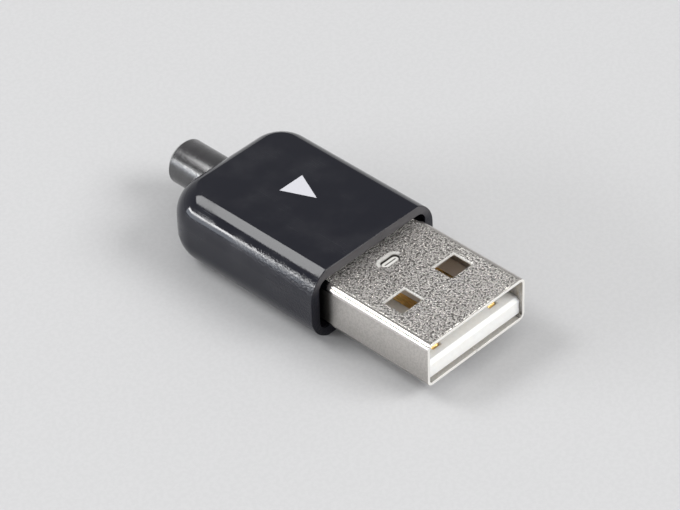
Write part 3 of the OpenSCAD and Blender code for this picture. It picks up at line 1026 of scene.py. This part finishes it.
def housing_material(colours):
    material, tree, shader, place = new_material("polished_black", colours.housing, 0.1)
    shader.inputs["IOR"].default_value = 1.43
    scuffs = group_node(tree, "scuffs", Place=place, Scale=700.0, Cover=0.9)
    grain = group_node(tree, "grain", Place=place, Scale=5200.0, Roughness=0.5)
    patches, lines = scuffs.outputs["Patches"], scuffs.outputs["Lines"]
    rough = plus(ramp(patches, 0.0, 1.0, 0.07, 0.24), times(lines, 0.4))
    parts = parts_of(place)
    ring = below(parts[1], HOUSING_LOW.y + 0.01 * MM)
    rough = plus(rough, times(ring, 0.3))
    feed(shader, "Roughness", rough)
    lighter = tuple(c + 0.009 for c in colours.housing)
    wear_and_lit_ring = blend_colour(patches, colours.housing, lighter)
    # painted light: the upper part of the front face is lighter, as if lit from above, while the lower
    # part stays dark
    lit = ramp(parts[2], MIDDLE_Z + 1.4 * MM, MIDDLE_Z + 2.8 * MM)
    wear_and_lit_ring = blend_colour(times(ring, lit), wear_and_lit_ring, LIT_RING_PAINT)
    top = above(parts[2], HOUSING_HIGH.z - 0.01 * MM)
    # plain pointer that shows which end goes in
    tip_y, base_y = MOUTH_Y + 19.0 * MM, MOUTH_Y + 22.1 * MM
    half, mark_x = 1.4 * MM, 0.7 * MM
    share = divided(minus(parts[1], tip_y), base_y - tip_y)
    across = sized(minus(parts[0], mark_x))
    edge = minus(times(share, half), across)
    mark = times(above(edge, 0.0), below(share, 1.0))
    mark = times(mark, top)
    feed(shader, "Base Color", blend_colour(mark, wear_and_lit_ring, colours.mark))
    along = ramp(parts[1], HOUSING_HIGH.y - 5.0 * MM, HOUSING_LOW.y)
    side = ramp(parts[2], HOUSING_HIGH.z - 0.3 * MM, HOUSING_HIGH.z - 1.4 * MM, 0.06, 1.0)
    peel = times(times(along, side), grain.outputs["Height"])
    bump(shader, peel, 0.6, 0.00002)
    return material


def grained_material(name, base, metallic, stretch, grain, tones, roughs, relief):
    """Finish whose tone, roughness and relief all follow one grain."""
    material, tree, shader, place = new_material(name, base, roughs[0], metallic)
    drawn = add(tree, "ShaderNodeMapping", in_Vector=place, in_Scale=stretch).outputs[0]
    noise = group_node(tree, "grain", Place=drawn, Scale=grain[0], Roughness=grain[1]).outputs
    tone = blend_colour(noise["Tone"], scaled(base, tones[0]), scaled(base, tones[1]))
    feed(shader, "Base Color", tone)
    feed(shader, "Roughness", ramp(noise["Tone"], 0.0, 1.0, *roughs))
    bump(shader, noise["Height"], *relief)
    return material, shader, place, tone


def sleeve_material(colours):
    material, shader, _, _ = grained_material(
        "satin_black", colours.sleeve, 0.0, (0.04, 1.0, 0.04), (16000.0, 0.7), (0.3, 0.9),
        (0.17, 0.09), (0.35, 0.00001),
    )
    shader.inputs["IOR"].default_value = 1.75
    return material


def gold_material(colours):
    return grained_material(
        "gold_plate", colours.gold, 1.0, (1.0, 0.05, 1.0), (9000.0, 0.6), (0.82, 1.08),
        (0.30, 0.16), (0.1, 0.00002),
    )[0]


def insulator_material(colours):
    """White moulding with painted shade from about 3 mm behind the mouth inwards, darker on the right
    side.
    """
    material, shader, place, clean = grained_material(
        "white_moulding", colours.insulator, 0.0, (1.0, 1.0, 1.0), (3000.0, 0.5), (0.97, 1.0),
        (0.35, 0.35), (0.05, 0.00002),
    )
    parts = parts_of(place)
    # painted shade: the moulding darkens from about 3 mm behind the mouth, more on the right
    inner_shade = ramp(parts[1], MOUTH_Y + 3.0 * MM, MOUTH_Y + 4.2 * MM)
    side_shade = blend_colour(ramp(parts[0], -1.0 * MM, 1.0 * MM), LEFT_SHADE_PAINT, RIGHT_SHADE_PAINT)
    feed(shader, "Base Color", blend_colour(inner_shade, clean, side_shade))
    shader.inputs["Subsurface Weight"].default_value = 0.6
    shader.inputs["Subsurface Radius"].default_value = (1.0, 0.95, 0.85)
    shader.inputs["Subsurface Scale"].default_value = 0.0012
    return material


def floor_material(colours):
    return grained_material(
        "pale_floor", colours.floor, 0.0, (1.0, 1.0, 1.0), (2500.0, 0.6), (0.98, 1.02),
        (0.55, 0.55), (0.0, 0.00002),
    )[0]


# ---- stage -------------------------------------------------------------------


def aim(direction, distance, target):
    """Place of a lamp and the turn that points it at the target."""
    direction = Vector(direction).normalized()
    turn = direction.to_track_quat("Z", "Y").to_matrix().to_4x4()
    return Matrix.Translation(Vector(target) + direction * distance) @ turn


def soft_box(name, direction, distance, size, radiance, tint=(1.0, 1.0, 1.0)):
    """Rectangular lamp whose surface has the given radiance."""
    lamp = bpy.data.lights.new(name, "AREA")
    lamp.shape = "RECTANGLE"
    lamp.size, lamp.size_y = size
    lamp.energy = radiance * math.pi * size[0] * size[1]
    lamp.color = tint
    holder = linked(name, lamp)
    holder.matrix_world = aim(direction, distance, (0.0, 0.0, MIDDLE_Z))
    return holder


def build_camera():
    """Camera that looks down on the plug from its front left."""
    azimuth, elevation, roll = math.radians(-45.0674), math.radians(39.8221), math.radians(-1.831)
    sensor, lens, distance = 36.0, 176.68567, 0.27656
    # how far the mouth lies right of and below the view's centre, as shares of its width
    aside, under = 0.2011829, 0.1134590
    wide = sensor / lens * distance
    level = math.cos(elevation)
    back = Vector((math.sin(azimuth) * level, -math.cos(azimuth) * level, math.sin(elevation)))
    ahead = -back
    right = ahead.cross(Vector((0, 0, 1))).normalized()
    up = right.cross(ahead).normalized()
    turned_right = right * math.cos(roll) + up * math.sin(roll)
    turned_up = up * math.cos(roll) - right * math.sin(roll)
    offset = turned_right * aside * wide - turned_up * under * wide + ahead * distance
    place = Vector((0, MOUTH_Y, MIDDLE_Z)) - offset
    data = bpy.data.cameras.new("camera")
    data.sensor_width, data.lens = sensor, lens
    data.clip_start, data.clip_end = 0.01, 20.0
    camera = linked("camera", data)
    turn = Matrix((turned_right, turned_up, back)).transposed().to_4x4()
    camera.matrix_world = Matrix.Translation(place) @ turn
    bpy.context.scene.camera = camera


def build_world():
    world = bpy.data.worlds.new("studio")
    bpy.context.scene.world = world
    world.use_nodes = True
    tree = world.node_tree
    light = tree.nodes["Background"]
    way = parts_of(add(tree, "ShaderNodeTexCoord").outputs["Generated"])
    rise = ramp(way[2], 0.0, 0.8, 0.72, 0.52)
    far = ramp(plus(way[0], way[1]), 0.4, 1.3, 0.0, 0.07)
    level = minus(rise, far)
    grey = add(tree, "ShaderNodeCombineColor", in_0=level, in_1=level, in_2=level)
    feed(light, "Color", grey.outputs[0])
    light.inputs[1].default_value = 1.0


def build_floor(colours):
    reach = 8.0
    mesh = bpy.data.meshes.new("floor")
    corners = ((-reach, -reach), (reach, -reach), (reach, reach), (-reach, reach))
    mesh.from_pydata([(x, y, FLOOR_Z) for x, y in corners], [], [(0, 1, 2, 3)])
    floor = linked("floor", mesh)
    mesh.materials.append(floor_material(colours))


# ---- operators ---------------------------------------------------------------


class PLUG_OT_shell(bpy.types.Operator):
    """Folds the metal shell from its flat pattern"""

    bl_idname = "plug.shell"
    bl_label = "Metal shell"

    def execute(self, context):
        piece = build_shell(context.scene.plug_shell)
        settle(piece, nickel_material(context.scene.plug_colours))
        return {"FINISHED"}


class PLUG_OT_housing(bpy.types.Operator):
    """Makes the moulded housing with its hollow, ribs and stops"""

    bl_idname = "plug.housing"
    bl_label = "Moulded housing"

    def execute(self, context):
        piece = build_housing(context.scene.plug_housing)
        settle(piece, housing_material(context.scene.plug_colours))
        return {"FINISHED"}


class PLUG_OT_sleeve(bpy.types.Operator):
    """Turns the cable sleeve"""

    bl_idname = "plug.sleeve"
    bl_label = "Cable sleeve"

    def execute(self, context):
        material = sleeve_material(context.scene.plug_colours)
        piece = build_sleeve(context.scene.plug_sleeve, material)
        settle(piece, material)
        return {"FINISHED"}


class PLUG_OT_contacts(bpy.types.Operator):
    """Sets the four contacts side by side, and paints the insulator under them"""

    bl_idname = "plug.contacts"
    bl_label = "Contacts and insulator"

    def execute(self, context):
        sizes, colours = context.scene.plug_contacts, context.scene.plug_colours
        gold, tree = gold_material(colours), pair_tree()
        pairs = (
            ("contacts_inner", ("contact_data_minus", "contact_data_plus"), sizes.inner_x),
            ("contacts_outer", ("contact_power", "contact_ground"), sizes.outer_x),
        )
        for name, nodes, distance in pairs:
            settle(build_contacts(sizes, name, nodes, distance, tree, gold), gold)
        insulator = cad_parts["insulator"]
        insulator.data.materials.clear()
        insulator.data.materials.append(insulator_material(colours))
        return {"FINISHED"}


class PLUG_OT_stage(bpy.types.Operator):
    """Makes the floor, the soft lamps, the world and the camera"""

    bl_idname = "plug.stage"
    bl_label = "Stage"

    def execute(self, context):
        scene = context.scene
        scene.view_settings.view_transform = "Standard"
        build_floor(scene.plug_colours)
        build_world()
        soft_box("rear_left_box", (-0.30, 0.54, 0.75), 0.8, (0.34, 0.26), 8.0)
        soft_box("low_left_strip", (-0.79, 0.54, 0.275), 0.8, (0.5, 0.075), 22.0)
        soft_box("low_left_glow", (-0.80, 0.54, 0.13), 0.82, (0.6, 0.17), 4.0, (0.84, 0.90, 1.0))
        soft_box("front_fill", (0.38, -0.68, 0.62), 1.0, (0.6, 0.4), 8.5)
        build_camera()
        return {"FINISHED"}


class PLUG_PT_panel(bpy.types.Panel):
    """Lists the plug's pieces and their sizes"""

    bl_idname = "PLUG_PT_panel"
    bl_label = "Plug"
    bl_space_type = "VIEW_3D"
    bl_region_type = "UI"
    bl_category = "Plug"

    def draw(self, context):
        for settings, operators in PANEL_ROWS:
            box = self.layout.box()
            for operator in operators:
                box.operator(operator)
            group = getattr(context.scene, settings)
            for name in type(group).__annotations__:
                box.prop(group, name)


PANEL_ROWS = (
    ("plug_shell", ("plug.shell",)),
    ("plug_housing", ("plug.housing",)),
    ("plug_sleeve", ("plug.sleeve",)),
    ("plug_contacts", ("plug.contacts",)),
    ("plug_colours", ("plug.stage",)),
)
SETTINGS = {
    "plug_shell": ShellSizes,
    "plug_housing": HousingSizes,
    "plug_sleeve": SleeveSizes,
    "plug_contacts": ContactSizes,
    "plug_colours": FinishColours,
}
CLASSES = (
    *SETTINGS.values(),
    PLUG_OT_shell,
    PLUG_OT_housing,
    PLUG_OT_sleeve,
    PLUG_OT_contacts,
    PLUG_OT_stage,
    PLUG_PT_panel,
)


def register():
    for cls in CLASSES:
        bpy.utils.register_class(cls)
    for name, cls in SETTINGS.items():
        setattr(bpy.types.Scene, name, PointerProperty(type=cls))


def unregister():
    for name in SETTINGS:
        delattr(bpy.types.Scene, name)
    for cls in reversed(CLASSES):
        bpy.utils.unregister_class(cls)


def main():
    register()
    bpy.ops.plug.shell()
    bpy.ops.plug.housing()
    bpy.ops.plug.sleeve()
    bpy.ops.plug.contacts()
    bpy.ops.plug.stage()


if __name__ == "__main__":
    main()
